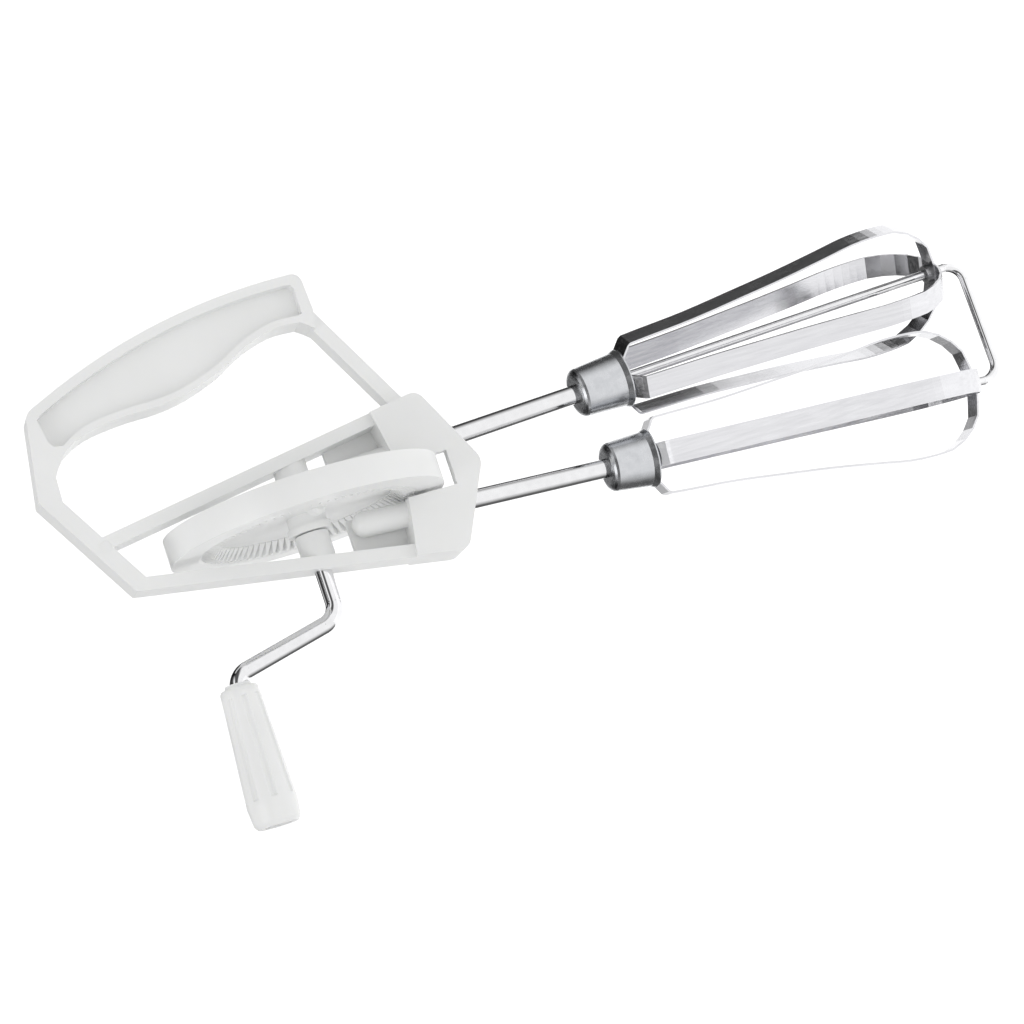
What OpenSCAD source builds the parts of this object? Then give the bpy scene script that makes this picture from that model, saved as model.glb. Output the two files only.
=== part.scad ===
// Hand-cranked rotary egg beater with two counter-rotating beaters.
// The outlines are drawn in the plane of the frame: x runs down the tool from the
// crank axis to the beater tips, y runs across it towards the crank, and z points
// to the back. The assembly is then stood upright, with the grip at the top.

/* [Frame] */
// Thickness of the grip and the gear frame
frame_t = 11; // [10:0.5:12]
// Thickness of the head block that carries the pinions
block_t = 15.2; // [15.2:0.2:16]
// Half width of the gear frame on the crank axis
beam_out = 19.1; // [18.8:0.1:19.4]
// Width of each gear frame beam
beam_w = 4.15; // [3.8:0.05:4.4]
// Thickness of the post between the grip and the head block
post_t = 7.5; // [6:0.5:8]
// Half width of the slot that the wheel turns in
slot_half = 5.6; // [5.4:0.1:5.8]

/* [Drive wheel] */
// Outer radius of the drive wheel
wheel_r = 44; // [43.6:0.1:44.6]
// Half width of the rim
rim_half = 4.4; // [4:0.1:4.6]
// Teeth in the crown ring on each face
crown_teeth = 78; // [78]
// Outer radius of the crown ring
crown_r_out = 34.2; // [34.1:0.1:34.4]
// Inner radius of the crown ring
crown_r_in = 28; // [27:0.5:29]
// Height of the tooth tips above the middle of the wheel
crown_tip = 4.2; // [4:0.05:4.2]

/* [Crank] */
// Diameter of the crank rod
rod_d = 5.4; // [5:0.1:5.4]
// Distance of the knob axis from the crank axis
crank_throw = 36.1; // [34:0.1:38]
// Length of the knob
knob_len = 44.4; // [42:0.2:46]
// Largest diameter of the knob
knob_d = 15.8; // [15:0.1:16.4]
// How far the knob's axis leans up from the crank axis
knob_lean = 1.5; // [0:0.5:3]

/* [Beaters] */
// Distance of a beater axis from the centre line, at the crank axis
leg_gap = 7.7; // [7.6:0.05:7.8]
// Angle between a beater axis and the centre line
leg_angle = 3.02; // [2.9:0.02:3.1]
// Diameter of the wire that the beaters turn on
wire_d = 3.1; // [3:0.1:3.2]
// Outer diameter of the beater tubes
tube_d = 6.1; // [5.9:0.1:6.2]
// Teeth on each pinion
pinion_teeth = 13; // [13]
// Largest radius of a beater
beater_r = 20.6; // [20:0.1:20.8]
// Width of a beater strip
strip_w = 7.6; // [7:0.1:7.8]
// Thickness of a beater strip
strip_t = 0.7; // [0.6:0.05:0.8]
// How far the near-side beater is turned at rest
near_phase = 7.5; // [6:0.5:9]
// How far the far-side beater is turned at rest
far_phase = 35; // [33:0.5:38]

/* [Hidden] */
$fn = 64;

white = [0.93, 0.94, 0.94];
chrome = [0.82, 0.83, 0.85];
steel = [0.66, 0.67, 0.69];

near = 1;
far = -1;
run_fit = 0.06;
cut = 1;
seam = 0.02;

// Grip centre, which becomes the origin of the finished part
grip_x = -28;
grip_y = -55.8;
beam_slope = 0.162;

// Grip outline
grip_crown_r = 195;
grip_crown_x = 15;
grip_top_y = -72.8;
grip_flange = 3.1;
grip_web_t = 3.5;
under_flange = 2.2;
bar_top = [-77.7, -24.2];
bar_foot = [-57.6, 9.77];
bar_w = 5.3;
underside = [
    [-70.3, -30.5], [-65.4, -37], [-57.3, -41.1], [-45, -42.9], [-33.5, -43.3],
    [-23.5, -45], [-12.2, -49], [-2.6, -54.1], [7.5, -57.2], [16.3, -57.2]
];

// Gear frame features
block_x = 31;
block_corner = [44.3, 26.28];
block_apex = 57.4;
block_face = 3.8;
block_wall = 2.3;
cavity_x = 33.2;
rib_x = 36.5;
rib_t = 3;
slot_end = 47.3;
floor_x = 12.3;
floor_top = 3;
boss_r = 5.35;
boss_end = 7;
blind_end = 16.6;
anchor_r = 4.05;
anchor_x = 13;
pocket_r = 6.9;
pocket_from = 31.6;
pocket_to = 36.9;

// Drive wheel
crown_full_r = 31.4;
crown_low = 1.3;
web_half = 0.9;
hub_r = 6.1;
hub_flange_r = 6.9;
hub_flange_y = 4.3;
hub_end = 6.6;
pin_angle = 22;
pin_r = 1.1;
pin_boss_r = 2.9;
pin_boss_reach = 9.6;

// Crank rod and knob
rod_r = rod_d / 2;
bend_r = 6.5;
knob_bend_r = 5.6;
arm_y = [34, 42.4];
knob_bore = rod_r + run_fit;
mouth_r = 3.56;
// Places along the knob's axis, measured from the corner of the rod
knob_from = 2.4;
rod_end = knob_from + knob_len - 1.2;
washer_seat = 2.4;
washer_r = 4.2;

// Beaters, measured along their own axes
wire_r = wire_d / 2;
tube_r = tube_d / 2;
tube_wall = 0.6;
wire_corner_x = 236;
wire_corner_r = 5.5;
wire_from = 19;
pinion_from = 31.95;
pinion_teeth_to = 33.65;
pinion_to = 36.6;
pinion_hub_r = 4.6;
pinion_tip_r = 6.55;
pinion_root_r = 4.85;
pinion_tube_seat = 33.2;
cup_to = 112.3;
cup_wall = 0.8;
cup_small_r = 7.9;
cup_large_r = 8.8;
cup_lip_r = 9.5;
tube_end = 104;
strip_from = 101;
tip_x = 226.2;
eyelet_r = wire_r + 0.15;
eyelet_wall = 0.75;

// ---------- helpers ----------

function unit(v) = v / norm(v);

// Points of a corner at p, rounded to radius r, on the way from a to b
function corner(a, p, b, r, steps) =
    r == 0 ? [p] :
    let (
        u = unit(a - p),
        v = unit(b - p),
        half = acos(u * v) / 2,
        centre = p + unit(u + v) * r / sin(half),
        first = p + u * r / tan(half) - centre,
        last = p + v * r / tan(half) - centre,
        start = atan2(first.y, first.x),
        turn = atan2(last.y, last.x) - start,
        sweep = turn > 180 ? turn - 360 : turn < -180 ? turn + 360 : turn
    )
    [for (i = [0 : steps]) centre + r * [cos(start + sweep * i / steps), sin(start + sweep * i / steps)]];

// A closed outline whose corners are [x, y, radius]
function rounded(p, steps = 5) = [
    for (i = [0 : len(p) - 1])
        let (a = p[(i + len(p) - 1) % len(p)], b = p[i], c = p[(i + 1) % len(p)])
        each corner([a.x, a.y], [b.x, b.y], [c.x, c.y], b[2], steps)
];

// One span of a smooth curve through q and r, between neighbours p and s
function span(p, q, r, s, t) =
    0.5 * (2 * q + (r - p) * t + (2 * p - 5 * q + 4 * r - s) * t * t + (3 * q - p - 3 * r + s) * t * t * t);

// A smooth open curve through a list of points
function smooth(p, steps = 4) = [
    for (i = [0 : len(p) - 2])
        for (k = [0 : steps - 1])
            span(p[max(i - 1, 0)], p[i], p[i + 1], p[min(i + 2, len(p) - 1)], k / steps),
    p[len(p) - 1]
];

function beam_y(x, half) = half + beam_slope * x;

// Stands the assembly upright with the grip centre at the origin
module upright() {
    rotate([-90, 90, 0])
        translate([-grip_x, -grip_y, 0])
            children();
}

// A plate of thickness t, centred on the frame plane
module plate(t) {
    translate([0, 0, -t / 2])
        linear_extrude(t)
            children();
}

// Turns a body of revolution from z onto the crank axis, y
module on_crank_axis() {
    rotate([-90, 0, 0])
        children();
}

// A beater's own space: z runs down its axis, x faces the front, y is its crank side
module on_beater_axis(side) {
    translate([0, side * leg_gap, 0])
        rotate([0, 0, side * leg_angle])
            rotate([0, 90, 0])
                children();
}

module ring(r_out, r_in, from, to) {
    translate([0, 0, from])
        difference() {
            cylinder(h = to - from, r = r_out);
            translate([0, 0, -cut])
                cylinder(h = to - from + 2 * cut, r = r_in);
        }
}

// Bent round bar of radius r, starting on the x axis, with a slight swell at each
// end that joins it to the straight bar that follows
module elbow(bend, angle, r) {
    rotate_extrude(angle = angle)
        translate([bend, 0])
            circle(r = r);
    for (a = [0, angle])
        rotate([0, 0, a])
            translate([bend, 0, 0])
                sphere(r = r + seam);
}

// ---------- frame ----------

function grip_crown(inset, from, to, steps = 14) = [
    for (i = [0 : steps])
        let (x = from + (to - from) * i / steps, r = grip_crown_r - inset)
        [x, grip_top_y + grip_crown_r - sqrt(r * r - (x - grip_crown_x) * (x - grip_crown_x))]
];

bar_dir = unit(bar_foot - bar_top);
bar_in = bar_top + bar_w * [bar_dir.y, -bar_dir.x];
bar_foot_in = bar_foot + bar_w * [bar_dir.y, -bar_dir.x];

module grip_outline() {
    polygon(concat(
        [bar_top],
        corner([bar_top.x, bar_top.y], [-73.4, -51.8], [-60, -57.9], 4, 4),
        grip_crown(0, -68, 17),
        corner([15, -72.8], [21, -72.8], [21.7, -60], 3.2, 4),
        [[21.7, -60], [20.5, -54], [18.6, -55.6]],
        smooth(reversed(underside)),
        [bar_in + 5 * bar_dir, bar_in + 9 * bar_dir, bar_top + 6 * bar_dir]
    ));
}

module grip_pocket() {
    lower = [for (i = [1 : len(underside) - 1]) underside[i] - [0, under_flange]];
    polygon(concat(
        [[-70.7, -49], [-69.4, -41.5], [-68.2, -39.7]],
        smooth(lower),
        [[17.9, -59.7], [18, -68.2], [17.2, -69.3]],
        grip_crown(grip_flange, 16, -68.5)
    ));
}

module beam(side, from) {
    to = block_corner.x - 6;
    polygon([
        [from, side * beam_y(from, beam_out)],
        [to, side * beam_y(to, beam_out)],
        [to, side * beam_y(to, beam_out - beam_w)],
        [from, side * beam_y(from, beam_out - beam_w)]
    ]);
}

module frame_loop() {
    grip_outline();
    polygon([bar_top, bar_foot, bar_foot_in + 1.5 * bar_dir, bar_in]);
    beam(far, -65);
    beam(near, bar_foot.x + 0.2);
}

module post() {
    top = [20.4, -62.6];
    foot = [40.6, -25.2];
    along = unit(foot - top);
    across = 4.5 * [-along.y, along.x];
    polygon([top, foot, foot + across, top + across]);
}

module block_outline() {
    left = block_x - 3;
    polygon(rounded([
        [left, -beam_y(left, beam_out), 0],
        [block_corner.x, -block_corner.y, 4],
        [block_apex, 0, 5],
        [block_corner.x, block_corner.y, 4],
        [left, beam_y(left, beam_out), 0],
        [block_x, slot_half, 0],
        [block_x, -slot_half, 0]
    ]));
}

// Room inside the head block, open at the back
module block_cavity() {
    slope = (block_apex - block_corner.x) / block_corner.y;
    end = block_apex - block_wall * sqrt(1 + slope * slope);
    side_y = beam_out - block_wall;
    corner_x = (end - slope * side_y) / (1 + slope * beam_slope);
    corner_y = beam_y(corner_x, side_y);
    start_y = beam_y(cavity_x, side_y);
    polygon(rounded([
        [cavity_x, -start_y, 0],
        [corner_x, -corner_y, 2],
        [end, 0, 3],
        [corner_x, corner_y, 2],
        [cavity_x, start_y, 0]
    ]));
}

// Shell with a thick front, and a rib across each tube that keeps its pinion up
module head_block() {
    inside = block_face - block_t / 2;
    difference() {
        plate(block_t)
            block_outline();
        translate([0, 0, inside])
            linear_extrude(block_t)
                block_cavity();
    }
    for (side = [near, far])
        mirror([0, side == near ? 0 : 1, 0])
            translate([rib_x, slot_half, inside - 0.5])
                cube([rib_t, beam_y(rib_x, beam_out - 1) - slot_half, frame_t / 2 - inside + 0.5]);
}

module floor_outline(side) {
    to = block_x + 1;
    polygon([
        [floor_x, side * slot_half],
        [floor_x, side * beam_y(floor_x, beam_out - 1)],
        [to, side * beam_y(to, beam_out - 1)],
        [to, side * slot_half]
    ]);
}

// Round-nosed boss that holds one end of the wire
module wire_anchor(side) {
    on_beater_axis(side) {
        translate([0, 0, anchor_x + anchor_r])
            sphere(r = anchor_r);
        translate([0, 0, anchor_x + anchor_r])
            cylinder(h = block_x - anchor_x - anchor_r + 0.3, r = anchor_r);
    }
}

module pinion_pocket(side) {
    on_beater_axis(side) {
        translate([0, 0, pocket_from])
            cylinder(h = pocket_to - pocket_from, r = pocket_r);
        translate([-block_t, -pocket_r, pocket_from])
            cube([block_t, 2 * pocket_r, pocket_to - pocket_from]);
        translate([0, 0, pocket_to - cut])
            cylinder(h = block_apex, r = tube_r + 0.12);
        translate([0, 0, wire_from])
            cylinder(h = pocket_from - wire_from + cut, r = wire_r);
    }
}

module frame_body() {
    difference() {
        union() {
            plate(frame_t)
                frame_loop();
            plate(post_t)
                post();
            head_block();
            for (side = [near, far]) {
                translate([0, 0, floor_top])
                    linear_extrude(frame_t / 2 - floor_top)
                        floor_outline(side);
                on_crank_axis()
                    mirror([0, 0, side == near ? 0 : 1])
                        translate([0, 0, boss_end])
                            cylinder(h = beam_out - 1.5 - boss_end, r = boss_r);
                wire_anchor(side);
            }
        }
        for (front = [0, 1])
            mirror([0, 0, front])
                translate([0, 0, grip_web_t / 2])
                    linear_extrude(frame_t)
                        grip_pocket();
        translate([block_x - 4, -slot_half, -block_t])
            cube([slot_end - block_x + 4, 2 * slot_half, 2 * block_t]);
        for (side = [near, far])
            pinion_pocket(side);
        on_crank_axis()
            translate([0, 0, -blind_end])
                cylinder(h = 3 * blind_end, r = rod_r + run_fit);
        // shallow ejector mark where the back bar meets the far beam
        translate([-62.4, -5.8, -frame_t / 2 - cut])
            cylinder(h = cut + 0.3, r = 1.9);
    }
}

module frame() {
    color(white)
        upright()
            frame_body();
}

// ---------- wire that the beaters turn on ----------

wire_half = leg_gap + wire_corner_x * tan(leg_angle);
wire_turn = 90 + leg_angle;
corner_cut = wire_corner_r * tan(wire_turn / 2);

module wire_yoke() {
    leg_end = wire_corner_x / cos(leg_angle) - corner_cut;
    color(chrome)
        upright() {
            for (side = [near, far]) {
                on_beater_axis(side)
                    translate([0, 0, wire_from])
                        cylinder(h = leg_end - wire_from, r = wire_r);
                translate([wire_corner_x - wire_corner_r, side * (wire_half - corner_cut), 0])
                    rotate([0, 0, side > 0 ? 0 : -wire_turn])
                        elbow(wire_corner_r, wire_turn, wire_r);
            }
            translate([wire_corner_x, corner_cut - wire_half, 0])
                on_crank_axis()
                    cylinder(h = 2 * (wire_half - corner_cut), r = wire_r);
        }
}

// ---------- drive wheel ----------

// Tooth that slopes down towards the hub, inside the part the pinion reaches
module crown_tooth() {
    base = 2.1;
    tip = 0.8;
    root = web_half - 0.2;
    outer = crown_r_out + 0.3;
    intersection() {
        rotate([90, 0, 90])
            translate([0, 0, crown_r_in])
                linear_extrude(outer - crown_r_in)
                    polygon([[-base / 2, root], [base / 2, root], [tip / 2, crown_tip], [-tip / 2, crown_tip]]);
        rotate([90, 0, 0])
            translate([0, 0, -base])
                linear_extrude(2 * base)
                    polygon([
                        [crown_r_in, root], [crown_r_in, crown_low], [crown_full_r, crown_tip],
                        [outer, crown_tip], [outer, root]
                    ]);
    }
}

module crown(side) {
    mirror([0, 0, side == near ? 0 : 1])
        for (i = [0 : crown_teeth - 1])
            rotate([0, 0, i * 360 / crown_teeth])
                crown_tooth();
}

// Radial boss on the hub that closes over the end of the drive pin
module pin_boss() {
    translate([0, 0, hub_r - 3])
        cylinder(h = pin_boss_reach - hub_r + 2, r = pin_boss_r);
    translate([0, 0, pin_boss_reach - 1])
        cylinder(h = 1, r1 = pin_boss_r, r2 = pin_boss_r - 0.9);
}

// Points the drive pin's z axis out through the hub, towards the boss
module along_pin() {
    rotate([0, -pin_angle, 0])
        rotate([180, 0, 0])
            children();
}

// Smooth face outside the teeth, chamfered at its inner edge
module rim_ring() {
    edge = rim_half - 0.35;
    rotate_extrude()
        polygon([
            [crown_r_out, -edge], [crown_r_out + 1.1, -rim_half], [wheel_r, -rim_half],
            [wheel_r, rim_half], [crown_r_out + 1.1, rim_half], [crown_r_out, edge]
        ]);
}

module drive_wheel() {
    color(white)
        upright()
            difference() {
                union() {
                    on_crank_axis() {
                        rim_ring();
                        ring(crown_r_out + 1, rod_r, -web_half, web_half);
                        cylinder(h = 2 * hub_end, r = hub_r, center = true);
                        for (side = [near, far]) {
                            mirror([0, 0, side == near ? 0 : 1])
                                translate([0, 0, hub_flange_y])
                                    cylinder(h = hub_end - hub_flange_y, r = hub_flange_r);
                            crown(side);
                        }
                    }
                    along_pin()
                        pin_boss();
                }
                on_crank_axis()
                    cylinder(h = 3 * hub_end, r = rod_r, center = true);
                along_pin()
                    translate([0, 0, -hub_r - cut])
                        cylinder(h = 2 * hub_r + cut, r = pin_r);
            }
}

module drive_pin() {
    color(steel)
        upright()
            along_pin()
                translate([0, 0, -hub_r])
                    cylinder(h = 2 * hub_r, r = pin_r);
}

// ---------- crank ----------

arm_dir = unit([-crank_throw, arm_y[1] - arm_y[0]]);
bend_angle = acos(arm_dir.y);
bend_cut = bend_r * tan(bend_angle / 2);
knob_bend_angle = bend_angle - knob_lean;
knob_bend_cut = knob_bend_r * tan(knob_bend_angle / 2);

// Part of a ring that turns the rod away from +y
module rod_bend(bend, angle) {
    translate([-bend, 0, 0])
        elbow(bend, angle, rod_r);
}

// The knob's axis runs up z from the corner of the rod
module on_knob_axis(from) {
    translate([-crank_throw, arm_y[1], 0])
        rotate([0, 0, knob_lean])
            translate([0, from, 0])
                on_crank_axis()
                    children();
}

module crank_rod() {
    arm_len = norm([crank_throw, arm_y[1] - arm_y[0]]);
    shaft_from = -blind_end + 0.4;
    color(chrome)
        upright()
            difference() {
                union() {
                    translate([0, shaft_from, 0])
                        on_crank_axis()
                            cylinder(h = arm_y[0] - bend_cut - shaft_from, r = rod_r);
                    translate([0, arm_y[0] - bend_cut, 0])
                        rod_bend(bend_r, bend_angle);
                    translate([0, arm_y[0], 0])
                        rotate([0, 0, bend_angle])
                            translate([0, bend_cut, 0])
                                on_crank_axis()
                                    cylinder(h = arm_len - bend_cut - knob_bend_cut, r = rod_r);
                    on_knob_axis(knob_bend_cut)
                        rotate([90, 0, 0])
                            rotate([0, 0, 180])
                                rod_bend(knob_bend_r, knob_bend_angle);
                    on_knob_axis(knob_bend_cut)
                        cylinder(h = rod_end - knob_bend_cut, r = rod_r);
                }
                along_pin()
                    cylinder(h = 4 * rod_r, r = pin_r, center = true);
                // the last few millimetres are turned down and spread over the washer
                on_knob_axis(rod_end - washer_seat)
                    ring(3 * rod_r, rod_r - 0.6, 0, washer_seat + cut);
            }
}

// Ring that the rod's end is spread over, sunk in the knob's end
module knob_washer() {
    color(steel)
        upright()
            on_knob_axis(rod_end - washer_seat)
                ring(washer_r, rod_r - 0.6, 0, 1);
}

module crank_knob() {
    top_r = 6;
    wide_r = knob_d / 2;
    end_r = 6.8;
    neck = 1.2;
    shoulder = 37.5;
    flutes = 8;
    flute_r = 1.2;
    lean = atan((wide_r - top_r) / shoulder);
    color(white)
        upright()
            on_knob_axis(knob_from)
                difference() {
                    rotate_extrude()
                        polygon([
                            [0, 0], [top_r - 2, 0], [top_r - 1.8, neck - 0.3], [top_r - 0.6, neck],
                            [top_r, neck + 0.8], [wide_r, shoulder], [end_r + 0.5, knob_len - 1.4],
                            [end_r - 0.5, knob_len], [0, knob_len]
                        ]);
                    translate([0, 0, -cut])
                        cylinder(h = knob_len + 2 * cut, r = knob_bore);
                    // widened mouth, since the rod's bend ends inside it
                    cylinder(h = 1.9, r1 = mouth_r, r2 = knob_bore);
                    translate([0, 0, rod_end - washer_seat - knob_from - 0.1])
                        cylinder(h = knob_len, r = washer_r + 0.15);
                    for (i = [0 : flutes - 1])
                        rotate([0, 0, i * 360 / flutes])
                            translate([top_r + 0.75, 0, neck + 3])
                                rotate([0, lean, 0])
                                    cylinder(h = shoulder - neck - 4.5, r = flute_r);
                }
}

// ---------- beaters ----------

// Gear outline with straight-flanked teeth and one gap facing along +x
module pinion_outline() {
    pitch = 360 / pinion_teeth;
    root_half = 8;
    tip_half = 2.1;
    polygon([
        for (i = [0 : pinion_teeth - 1])
            for (p = [
                [pinion_root_r, -root_half], [pinion_tip_r, -tip_half],
                [pinion_tip_r, tip_half], [pinion_root_r, root_half]
            ])
                p[0] * [cos((i + 0.5) * pitch + p[1]), sin((i + 0.5) * pitch + p[1])]
    ]);
}

module pinion(side) {
    color(white)
        upright()
            on_beater_axis(side)
                difference() {
                    union() {
                        translate([0, 0, pinion_from])
                            rotate([0, 0, side == near ? -90 : 90])
                                linear_extrude(pinion_teeth_to - pinion_from)
                                    pinion_outline();
                        translate([0, 0, pinion_from])
                            cylinder(h = pinion_to - pinion_from, r = pinion_hub_r);
                    }
                    cylinder(h = pinion_to + cut, r = wire_r + run_fit);
                    translate([0, 0, pinion_tube_seat])
                        cylinder(h = pinion_to, r = tube_r);
                }
}

module tube(side) {
    color(chrome)
        upright()
            on_beater_axis(side)
                ring(tube_r, tube_r - tube_wall, pinion_tube_seat, tube_end);
}

// The near cup is pressed on a little lower than the far one
function cup_from(side) = side == near ? 97.1 : 95.4;

// Drawn steel cup, with a rounded shoulder and a flared lip
module cup(side) {
    from = cup_from(side);
    shoulder_r = 2.4;
    flat_r = cup_small_r - shoulder_r;
    color(steel)
        upright()
            on_beater_axis(side)
                rotate_extrude()
                    polygon(concat(
                        [[tube_r, from], [flat_r, from]],
                        [for (a = [20 : 20 : 80]) [flat_r + shoulder_r * sin(a), from + shoulder_r * (1 - cos(a))]],
                        [[cup_small_r, from + 2.6], [cup_large_r, cup_to - 2], [cup_lip_r, cup_to - 0.4],
                         [cup_lip_r, cup_to], [cup_lip_r - 0.6, cup_to],
                         [cup_large_r - cup_wall, cup_to - 1.7], [cup_small_r - cup_wall, from + 2.6],
                         [flat_r, from + cup_wall], [tube_r, from + cup_wall]]
                    ));
}

// Half profile of a strip's middle line, as [distance from the axis, place along it]
function strip_line(reach, tip) = concat(
    [[5.4, strip_from], [5.5, strip_from + 6], [6.3, cup_to - 2], [7.7, cup_to - 0.2], [11.7, cup_to + 2.4]],
    smooth([
        [12.3, 115.6], [12.6, 122], [13.3, 138], [14.9, 155], [16.5, 171],
        [18.6, 187], [20, 197], [reach, 206.5], [reach - 0.5, 212.5]
    ], 3),
    [[reach - 2.6, 217.2], [reach - 5.6, 221], [reach - 9.4, 223.9], [reach - 13.8, tip - 0.5], [4, tip], [0, tip]]
);

// Offsets an open line sideways by d, using the direction between its neighbours
function beside(p, d) = [
    for (i = [0 : len(p) - 1])
        let (t = unit(p[min(i + 1, len(p) - 1)] - p[max(i - 1, 0)]))
        p[i] + d * [-t.y, t.x]
];

function reversed(p) = [for (i = [len(p) - 1 : -1 : 0]) p[i]];

// The same line mirrored onto the other leg, run the other way
function other_leg(p) = [for (i = [len(p) - 2 : -1 : 0]) [-p[i].x, p[i].y]];

module strip(tip) {
    line = strip_line(beater_r - strip_t / 2, tip);
    outer = beside(line, strip_t / 2);
    inner = beside(line, -strip_t / 2);
    difference() {
        rotate([90, 0, 0])
            translate([0, 0, -strip_w / 2])
                linear_extrude(strip_w)
                    polygon(concat(outer, other_leg(outer), reversed(concat(inner, other_leg(inner)))));
        translate([0, 0, tip - 2 * strip_t])
            cylinder(h = 4 * strip_t, r = eyelet_r + eyelet_wall);
    }
}

function phase(side) = side == near ? near_phase : far_phase;

// Outer blade of a beater: its tip lies outside the other blade's
module blade_outer(side) {
    color(steel)
        upright()
            on_beater_axis(side)
                rotate([0, 0, phase(side)])
                    strip(tip_x);
}

module blade_inner(side) {
    color(steel)
        upright()
            on_beater_axis(side)
                rotate([0, 0, phase(side) + 90])
                    strip(tip_x - strip_t);
}

module tip_washer(side) {
    top = tip_x - 1.5 * strip_t;
    color(steel)
        upright()
            on_beater_axis(side)
                ring(3, eyelet_r + eyelet_wall, top - 1.2, top);
}

// Flanged bush that clamps both blades and turns on the wire
module tip_eyelet(side) {
    top = tip_x - 1.5 * strip_t - 1.2;
    bottom = tip_x + strip_t / 2;
    color(steel)
        upright()
            on_beater_axis(side)
                difference() {
                    union() {
                        translate([0, 0, top - 0.6])
                            cylinder(h = 0.6, r = 2.9);
                        translate([0, 0, top])
                            cylinder(h = bottom - top, r = eyelet_r + eyelet_wall);
                        translate([0, 0, bottom])
                            cylinder(h = 0.7, r = 2.9);
                    }
                    translate([0, 0, top - cut])
                        cylinder(h = bottom - top + 3 * cut, r = wire_r + run_fit);
                }
}

frame();
wire_yoke();
drive_wheel();
crank_rod();
drive_pin();
knob_washer();
crank_knob();
pinion(near);  // near_pinion
tube(near);  // near_tube
cup(near);  // near_cup
blade_outer(near);  // near_blade_outer
blade_inner(near);  // near_blade_inner
tip_washer(near);  // near_tip_washer
tip_eyelet(near);  // near_tip_eyelet
pinion(far);  // far_pinion
tube(far);  // far_tube
cup(far);  // far_cup
blade_outer(far);  // far_blade_outer
blade_inner(far);  // far_blade_inner
tip_washer(far);  // far_tip_washer
tip_eyelet(far);  // far_tip_eyelet
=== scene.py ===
import math

import bpy
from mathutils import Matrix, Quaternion, Vector


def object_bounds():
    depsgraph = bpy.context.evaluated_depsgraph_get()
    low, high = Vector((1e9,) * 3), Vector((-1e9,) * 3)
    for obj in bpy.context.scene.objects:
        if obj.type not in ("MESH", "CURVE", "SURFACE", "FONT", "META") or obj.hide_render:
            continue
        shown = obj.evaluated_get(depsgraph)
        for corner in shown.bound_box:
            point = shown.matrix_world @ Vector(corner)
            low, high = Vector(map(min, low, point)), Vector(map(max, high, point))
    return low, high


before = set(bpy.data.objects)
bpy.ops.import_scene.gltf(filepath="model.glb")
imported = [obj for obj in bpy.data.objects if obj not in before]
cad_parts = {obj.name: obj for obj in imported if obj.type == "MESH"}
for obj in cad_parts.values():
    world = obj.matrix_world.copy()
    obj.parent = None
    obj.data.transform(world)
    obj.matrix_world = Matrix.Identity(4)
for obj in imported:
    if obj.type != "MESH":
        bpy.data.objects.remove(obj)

CAD_BOX = [list(corner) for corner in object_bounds()]

# The camera circles a point on the gear frame and is rolled so that the tool lies across the picture.
CAMERA_AIM = Vector((-0.0736, 0.0, -0.0912))
CAMERA_DISTANCE = 0.958
CAMERA_AZIMUTH = math.radians(-8.7)
CAMERA_ELEVATION = math.radians(16.27)
CAMERA_ROLL = math.radians(106.3)
LENS_MM = 107.8
SENSOR_MM = 36.0

# Strength of the even light, and of the surroundings where they are mirrored
SOFT_LIGHT = 0.78
MIRRORED_LIGHT = 1.12
# Mirrored greys as (place, grey): round the tool, where 0.5 is the camera's side, then from level upwards
SIDE_BANDS = ((0.04, 0.7), (0.09, 0.12), (0.22, 0.12), (0.29, 0.6), (0.36, 1.0),
              (0.66, 1.0), (0.72, 0.6), (0.79, 0.06), (0.91, 0.06), (0.96, 0.7))
TOP_BANDS = ((0.15, 1.0), (0.30, 0.10), (0.62, 0.10), (0.70, 1.0), (0.80, 1.0), (0.88, 0.15))

# The floor's corners as (distance past the object, distance to the side), and its depth below the object
FLOOR_CORNERS = ((-0.7, -0.35), (-0.7, 0.35), (30, 9), (30, -9))
FLOOR_DROP = 0.3

WELD_DISTANCE = 0.00001
EDGE_RADIUS = 0.0004
EDGE_ANGLE = math.radians(35)


# ---------- camera, light and floor ----------

def direction(azimuth, elevation):
    """A unit vector from the object towards a place round it."""
    flat = math.cos(elevation)
    return Vector((math.sin(azimuth) * flat, -math.cos(azimuth) * flat, math.sin(elevation)))


def make_camera():
    camera = bpy.data.objects.new("camera", bpy.data.cameras.new("camera"))
    bpy.context.collection.objects.link(camera)
    camera.data.lens = LENS_MM
    camera.data.sensor_width = SENSOR_MM
    camera.data.clip_start = 0.05
    camera.data.clip_end = 100.0
    back = direction(CAMERA_AZIMUTH, CAMERA_ELEVATION)
    camera.location = CAMERA_AIM + back * CAMERA_DISTANCE
    camera.rotation_mode = "QUATERNION"
    roll = Quaternion((0, 0, 1), -CAMERA_ROLL)
    camera.rotation_quaternion = (-back).to_track_quat("-Z", "Y") @ roll
    bpy.context.scene.camera = camera


def add_light(name, azimuth, elevation, distance, size, power):
    data = bpy.data.lights.new(name, "AREA")
    data.shape = "RECTANGLE"
    data.size, data.size_y = size, size
    data.energy = power
    lamp = bpy.data.objects.new(name, data)
    bpy.context.collection.objects.link(lamp)
    towards = direction(math.radians(azimuth), math.radians(elevation))
    lamp.location = CAMERA_AIM + towards * distance
    lamp.rotation_mode = "QUATERNION"
    lamp.rotation_quaternion = towards.to_track_quat("Z", "Y")


def colour(value):
    """A colour with alpha, from a grey level or from red, green and blue."""
    return (value, value, value, 1) if isinstance(value, float) else (*value, 1)


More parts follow.
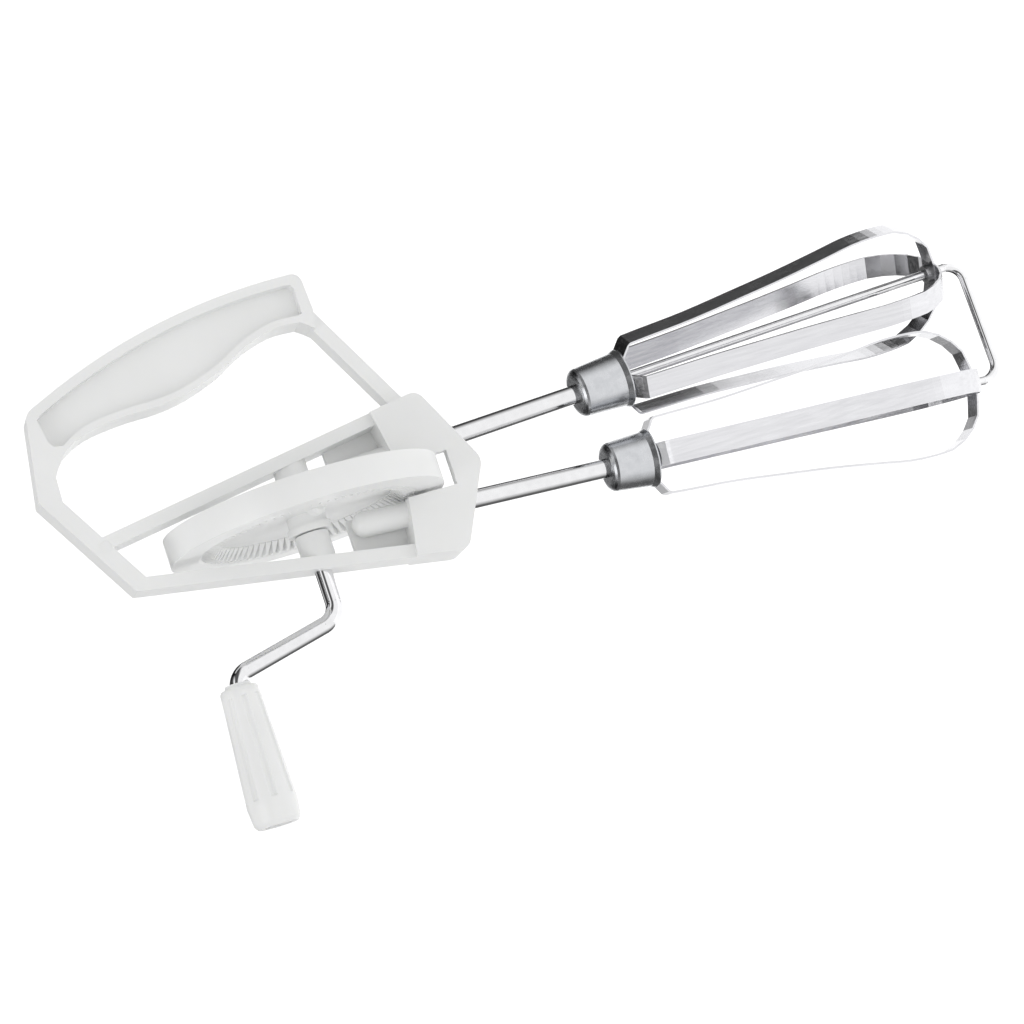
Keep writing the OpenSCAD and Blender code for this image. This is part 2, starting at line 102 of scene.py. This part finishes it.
def ramp(nodes, links, source, marks):
    """Maps source onto colours or greys, given as (place, value) pairs in order."""
    node = nodes.new("ShaderNodeValToRGB")
    elements = node.color_ramp.elements
    for end, (place, value) in zip((elements[0], elements[1]), (marks[0], marks[-1])):
        end.position, end.color = place, colour(value)
    for place, value in marks[1:-1]:
        elements.new(place).color = colour(value)
    links.new(source, node.inputs["Fac"])
    return node.outputs["Color"]


def spread(nodes, links, source, low, high):
    """Maps the middle range of a noise onto low to high."""
    return ramp(nodes, links, source, ((0.3, low), (0.7, high)))


def mixed(nodes, links, kind, factor, first, second):
    node = nodes.new("ShaderNodeMix")
    node.data_type = "RGBA"
    node.blend_type = kind
    for value, socket in ((factor, "Factor"), (first, "A"), (second, "B")):
        if hasattr(value, "links"):
            links.new(value, node.inputs[socket])
        else:
            node.inputs[socket].default_value = value
    return node.outputs["Result"]


def make_world():
    """Even white light. What mirrors the surroundings also sees darker zones at the sides and overhead."""
    world = bpy.data.worlds.new("studio")
    world.use_nodes = True
    nodes, links = world.node_tree.nodes, world.node_tree.links
    turn = nodes.new("ShaderNodeMapping")
    turn.inputs["Rotation"].default_value = (0, 0, math.radians(90) - CAMERA_AZIMUTH)
    links.new(nodes.new("ShaderNodeTexCoord").outputs["Generated"], turn.inputs["Vector"])
    around = nodes.new("ShaderNodeTexGradient")
    around.gradient_type = "RADIAL"
    links.new(turn.outputs["Vector"], around.inputs["Vector"])
    parts = nodes.new("ShaderNodeSeparateXYZ")
    links.new(turn.outputs["Vector"], parts.inputs["Vector"])
    sides = ramp(nodes, links, around.outputs["Fac"], SIDE_BANDS)
    height = ramp(nodes, links, parts.outputs["Z"], TOP_BANDS)
    both = mixed(nodes, links, "MULTIPLY", 1.0, sides, height)
    glossy = nodes.new("ShaderNodeLightPath").outputs["Is Glossy Ray"]
    background = nodes["Background"]
    even = (*[SOFT_LIGHT / MIRRORED_LIGHT] * 3, 1)
    links.new(mixed(nodes, links, "MIX", glossy, even, both), background.inputs["Color"])
    background.inputs["Strength"].default_value = MIRRORED_LIGHT
    bpy.context.scene.world = world


def make_floor():
    """A sheet of paper that widens away from the camera."""
    level = CAD_BOX[0][2] - FLOOR_DROP
    away = -direction(CAMERA_AZIMUTH, 0.0)
    across = Vector((-away.y, away.x, 0))
    corners = [away * along + across * side + Vector((CAMERA_AIM.x, CAMERA_AIM.y, level))
               for along, side in FLOOR_CORNERS]
    mesh = bpy.data.meshes.new("floor")
    mesh.from_pydata([tuple(point) for point in corners], [], [(0, 1, 2, 3)])
    floor = bpy.data.objects.new("floor", mesh)
    bpy.context.collection.objects.link(floor)
    mesh.materials.append(plain_floor())


# ---------- materials ----------

def new_material(name):
    material = bpy.data.materials.new(name)
    material.use_nodes = True
    nodes, links = material.node_tree.nodes, material.node_tree.links
    return material, nodes, links, nodes["Principled BSDF"]


def plain_floor():
    material, nodes, links, shader = new_material("floor_paper")
    shader.inputs["Base Color"].default_value = (0.95, 0.95, 0.95, 1)
    shader.inputs["Roughness"].default_value = 0.9
    shader.inputs["Specular IOR Level"].default_value = 0.0
    shader.inputs["Emission Color"].default_value = (1, 1, 1, 1)
    shader.inputs["Emission Strength"].default_value = 0.45
    return material


def noise(nodes, links, scale, detail, source):
    node = nodes.new("ShaderNodeTexNoise")
    node.inputs["Scale"].default_value = scale
    node.inputs["Detail"].default_value = detail
    links.new(source, node.inputs["Vector"])
    return node.outputs["Fac"]


def bump(nodes, links, shader, height, strength, distance):
    node = nodes.new("ShaderNodeBump")
    node.inputs["Strength"].default_value = strength
    node.inputs["Distance"].default_value = distance
    links.new(height, node.inputs["Height"])
    links.new(node.outputs["Normal"], shader.inputs["Normal"])


def white_plastic():
    material, nodes, links, shader = new_material("white_plastic")
    place = nodes.new("ShaderNodeTexCoord").outputs["Object"]
    cloud = noise(nodes, links, 35.0, 3.0, place)
    patches = noise(nodes, links, 160.0, 4.0, place)
    tint = spread(nodes, links, cloud, (0.85, 0.855, 0.85), (0.89, 0.895, 0.89))
    links.new(tint, shader.inputs["Base Color"])
    links.new(spread(nodes, links, patches, 0.30, 0.42), shader.inputs["Roughness"])
    shader.inputs["Subsurface Weight"].default_value = 0.15
    shader.inputs["Subsurface Radius"].default_value = (0.003, 0.003, 0.0025)
    shader.inputs["IOR"].default_value = 1.5
    bump(nodes, links, shader, noise(nodes, links, 900.0, 3.0, place), 0.12, 0.0002)
    return material


def metal(name, low, high, rough_low, rough_high, stretch=(1, 1, 1), scale=400.0):
    material, nodes, links, shader = new_material(name)
    place = nodes.new("ShaderNodeTexCoord").outputs["Object"]
    mapping = nodes.new("ShaderNodeMapping")
    mapping.inputs["Scale"].default_value = stretch
    links.new(place, mapping.inputs["Vector"])
    grain = noise(nodes, links, scale, 4.0, mapping.outputs["Vector"])
    links.new(spread(nodes, links, grain, low, high), shader.inputs["Base Color"])
    links.new(spread(nodes, links, grain, rough_low, rough_high), shader.inputs["Roughness"])
    shader.inputs["Metallic"].default_value = 1.0
    bump(nodes, links, shader, grain, 0.15, 0.00005)
    return material


def dress(nodes, material):
    for name in nodes:
        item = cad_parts[name]
        item.data.materials.clear()
        item.data.materials.append(material)


def soften(nodes):
    """Rounds the sharp edges of the moulded parts."""
    for name in nodes:
        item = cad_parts[name]
        weld = item.modifiers.new("weld", "WELD")
        weld.merge_threshold = WELD_DISTANCE
        bevel = item.modifiers.new("soft_edges", "BEVEL")
        bevel.width = EDGE_RADIUS
        bevel.segments = 2
        bevel.limit_method = "ANGLE"
        bevel.angle_limit = EDGE_ANGLE


make_camera()
make_world()
make_floor()

dress(["frame", "drive_wheel", "crank_knob", "near_pinion", "far_pinion"], white_plastic())
dress(["wire_yoke", "crank_rod", "near_tube", "far_tube"],
      metal("chrome", (0.74, 0.74, 0.75), (0.80, 0.80, 0.81), 0.05, 0.09))
dress(["near_cup", "far_cup"], metal("pressed_steel", (0.54, 0.55, 0.57), (0.63, 0.64, 0.66), 0.20, 0.30))
dress([f"{side}_blade_{layer}" for side in ("near", "far") for layer in ("outer", "inner")],
      metal("steel_strip", (0.66, 0.66, 0.68), (0.74, 0.74, 0.76), 0.14, 0.22, (1, 1, 0.05), 900.0))
dress(["drive_pin", "knob_washer", "near_tip_washer", "far_tip_washer", "near_tip_eyelet", "far_tip_eyelet"],
      metal("turned_steel", (0.45, 0.45, 0.46), (0.55, 0.55, 0.56), 0.28, 0.36))

soften(["frame", "drive_wheel", "crank_knob"])

add_light("key", azimuth=-30, elevation=60, distance=1.6, size=1.0, power=4)

bpy.context.scene.view_settings.view_transform = "Standard"
